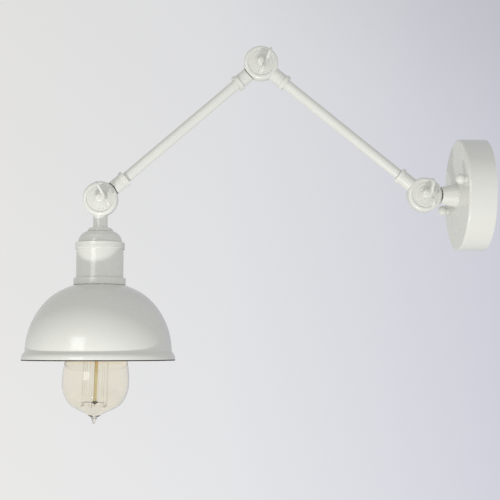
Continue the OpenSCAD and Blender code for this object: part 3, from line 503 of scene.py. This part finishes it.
# ---------------------------------------------------------------- wing screws
# The wing's plate stands WING_SIDE to one side of the screw's line, as in the photo
WING_T, WING_SIDE, WING_H, SPAN, COLLAR_R = 2.4, 4.8, 16.0, 28.4, 4.8
SEAT_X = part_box("wall_wing_washer")[1].x / MM
ROD_START, ROD_LENGTH = -8.4, 19.2
VOXEL = 0.00033         # of the remesh, in metres


def wing_form():
    """One wing screw's head, cast in one piece: collar, web and winged plate, with soft edges all round."""
    lobe_r = SPAN * 0.19
    at, up = SPAN / 2 - lobe_r, WING_H - lobe_r
    half = [(1.2, 3.9), (3.4, 4.6), (6.4, 6.4), (8.6, 8.6)]
    half += [(up + lobe_r * math.sin(t), at + lobe_r * math.cos(t)) for t in np.linspace(-0.75, 2.2, 16)]
    half += [(WING_H * 0.74, 5.6), (WING_H * 0.66, 3.4), (WING_H * 0.62, 1.6)]
    outline = half + [(WING_H * 0.61, 0.0)] + [(h, -s) for h, s in reversed(half)]
    n = len(outline)
    verts = [(SEAT_X + h, y, s) for y in (WING_SIDE - WING_T / 2, WING_SIDE + WING_T / 2) for h, s in outline]
    faces = [tuple(range(n)), tuple(reversed(range(n, 2 * n)))]
    faces += [(k, (k + 1) % n, n + (k + 1) % n, n + k) for k in range(n)]
    plate = (verts, faces)
    turned = [(0, 0), (COLLAR_R, 0), (COLLAR_R - 0.1, 0.6), (COLLAR_R - 0.5, 3.8), (COLLAR_R - 0.9, 4.7),
              (COLLAR_R - 1.9, 5.3), (2.0, 5.55), (0, 5.6)]
    v, f = lathe(turned, 64, closed=False)
    collar = ([(SEAT_X - z, x, y) for x, y, z in v], f)
    v = [(SEAT_X + x, y, z) for x in (0.1, 4.4) for y in (0.0, WING_SIDE) for z in (-4.2, 4.2)]
    web = (v, [(0, 1, 3, 2), (4, 6, 7, 5), (0, 4, 5, 1), (2, 3, 7, 6), (0, 2, 6, 4), (1, 5, 7, 3)])
    ob = add_object("wing_raw", clean_mesh("wing_raw", joined([plate, collar, web])))
    fused = ob.modifiers.new("remesh", "REMESH")
    fused.mode = "VOXEL"
    fused.voxel_size = VOXEL
    soft = ob.modifiers.new("smooth", "SMOOTH")
    soft.factor = 0.5
    soft.iterations = 9
    bpy.context.view_layer.update()
    done = ob.evaluated_get(bpy.context.evaluated_depsgraph_get()).to_mesh()
    form = [tuple(q.co / MM) for q in done.vertices], [tuple(p.vertices) for p in done.polygons]
    bpy.data.objects.remove(ob)
    return form


wing = wing_form()
v, f = lathe([(0, 0), (1.9, 0), (2.5, 0.6), (2.5, ROD_LENGTH), (0, ROD_LENGTH)], 40, closed=False)
rod = ([(ROD_START - z, x, y) for x, y, z in v], f)
for name, pivot, turn in (("wall", WALL_PIVOT, 0.0), ("elbow", ELBOW_PIVOT, -22.0), ("head", HEAD_PIVOT, 31.0)):
    place = Matrix.Translation((0, pivot[0] * MM, pivot[1] * MM)) @ Matrix.Rotation(math.radians(turn), 4, "X")
    make(name + "_wing", joined([wing, rod]), "paint", name + "_wing", [name + "_wing_screw"],
         place, sharp=50.0)

# ---------------------------------------------------------------- camera
CAMERA_AT = (1.09013, -0.27729, -0.15475)
TURN, PITCH = math.radians(2.204), math.radians(5.176)
cam_data = bpy.data.cameras.new("camera")
cam = add_object("camera", cam_data)
ahead = Vector((-math.cos(TURN) * math.cos(PITCH), math.sin(TURN) * math.cos(PITCH), math.sin(PITCH)))
cam.location = CAMERA_AT
cam.rotation_euler = ahead.to_track_quat("-Z", "Y").to_euler()
cam_data.lens = 79.2
cam_data.sensor_width = 36.0
cam_data.clip_start = 0.02
cam_data.clip_end = 60.0
bpy.context.scene.camera = cam
bpy.context.scene.view_settings.view_transform = "Standard"

# ---------------------------------------------------------------- lamp
FOCUS = Vector((0.0, -0.30, -0.08))         # what the lamp and the panel are aimed at, with the lamp 1 m away
HEAD_CENTRE = Vector((0.0, -0.384, -0.12))
MIDDLE_Y = -0.23                            # half way between the wall and the shade's rim
FRONT = math.atan2(CAMERA_AT[1] - MIDDLE_Y, CAMERA_AT[0])       # the camera's direction, seen from above


def aim_at(azimuth, elevation):
    """A direction, its azimuth counted from the camera's, positive towards the wall."""
    a = FRONT + math.radians(azimuth)
    e = math.radians(elevation)
    return Vector((math.cos(a) * math.cos(e), math.sin(a) * math.cos(e), math.sin(e)))


key_way = aim_at(-15.0, -50.5)
key_data = bpy.data.lights.new("key", "AREA")
key_data.energy = 5.4
key_data.color = (1.0, 0.995, 0.97)
key_data.shape = "DISK"
key_data.size = 0.05
key = add_object("key", key_data)
key.location = FOCUS + key_way
key.rotation_euler = (-key_way).to_track_quat("-Z", "Y").to_euler()
key.visible_camera = False

# ---------------------------------------------------------------- room
PALE = (0.80, 0.795, 0.785)
world = bpy.data.worlds.new("world")
bpy.context.scene.world = world
world.use_nodes = True
world.cycles.sampling_method = "NONE"       # the room is even, so it needs no sampling of its own
w = Tree(world.node_tree)
way = w.add("ShaderNodeTexCoord").outputs["Generated"]
way_x, way_y, way_z = w.add("ShaderNodeSeparateXYZ", {"Vector": way}).outputs

# What the camera sees, straight or through glass: pale, with painted shade that makes it darker and cooler towards
# the wall side and the top
across = w.add("ShaderNodeMapRange", {"Value": way_y, "From Min": -0.25, "From Max": 0.32})
backdrop = w.ramp(across, [(0.1, PALE), (0.45, (0.765, 0.768, 0.785)), (0.72, (0.69, 0.695, 0.745)),
                           (0.92, (0.61, 0.615, 0.68))])
top_shade = w.add("ShaderNodeMapRange", {"Value": way_z, "From Min": -0.13, "From Max": 0.32,
                                    "To Min": 1.03, "To Max": 0.94})
# Painted shadow in the top corner on the wall side
corner_shadow = w.soft_step(w.math("MULTIPLY_ADD", way_y, 0.6, way_z), 0.28, 0.50, 1.0, 0.87)
shown = w.add("ShaderNodeBackground", {"Color": backdrop, "Strength": w.math("MULTIPLY", top_shade, corner_shadow)})

# What lights the object: most from below and from the camera's side
level = w.math("MULTIPLY_ADD", way_z, -0.245, 0.635)
level = w.math("MULTIPLY_ADD", way_x, 0.18, level)
level = w.math("MULTIPLY_ADD", way_y, 0.02, level)
lit = w.add("ShaderNodeBackground", {"Color": (1.0, 1.0, 0.985, 1.0), "Strength": level})

# What gloss shows: the backdrop and a soft panel to the left of the camera, 1.5 m from the focus
panel_way = (FOCUS + 1.5 * aim_at(-28.0, 10.5) - HEAD_CENTRE).normalized()
panel_side = panel_way.cross(Vector((0, 0, 1))).normalized()
panel_up = panel_side.cross(panel_way)
panel = w.math("GREATER_THAN", w.dot(way, panel_way), 0.5)
for axis, half in ((panel_side, 0.18), (panel_up, 0.165)):
    off = w.math("ABSOLUTE", w.dot(way, axis))
    panel = w.math("MULTIPLY", panel, w.soft_step(off, half + 0.02, half - 0.02))
dim = w.add("ShaderNodeBackground", {"Color": backdrop, "Strength": 0.83})
bright = w.add("ShaderNodeBackground", {"Color": (1.0, 1.0, 1.0, 1.0), "Strength": 4.3})

path = w.add("ShaderNodeLightPath").outputs
seen = w.math("MAXIMUM", path["Is Camera Ray"], path["Is Transmission Ray"])
room = w.mix(path["Is Glossy Ray"], lit, w.mix(panel, dim, bright))
w.add("ShaderNodeOutputWorld", {"Surface": w.mix(seen, room, shown)})

# ---------------------------------------------------------------- floor
# A pale disc well below the light, fading into the backdrop. It takes the shadow, and it looks paler than it is lit.
FLOOR_R, FADE_START, FADE_END = 2.2, 0.9, 2.1
mesh = bpy.data.meshes.new("floor")
bm = bmesh.new()
bmesh.ops.create_circle(bm, cap_ends=True, segments=96, radius=FLOOR_R)
bm.to_mesh(mesh)
bm.free()
floor = add_object("floor", mesh)
floor.location = (0.0, -0.25, -1.30)
m, t, at = material("floor")
far = t.add("ShaderNodeVectorMath", {0: at}, operation="LENGTH").outputs["Value"]
shaded = t.add("ShaderNodeBsdfDiffuse", {
    "Color": t.two_tone(t.noise(at, 3.0, 3.0, 0.5), (0.74, 0.745, 0.76), (0.76, 0.762, 0.77))})
even = t.add("ShaderNodeEmission", {"Color": (*PALE, 1.0), "Strength": 1.0})
path = t.add("ShaderNodeLightPath").outputs
share = t.math("MULTIPLY_ADD", path["Is Camera Ray"], 0.7, path["Is Transmission Ray"])
share = t.math("MULTIPLY_ADD", path["Is Glossy Ray"], 0.75, share, use_clamp=True)
clear = t.add("ShaderNodeBsdfTransparent")
finish_material(t, t.mix(t.soft_step(far, FADE_START, FADE_END), t.mix(share, shaded, even), clear))
mesh.materials.append(m)
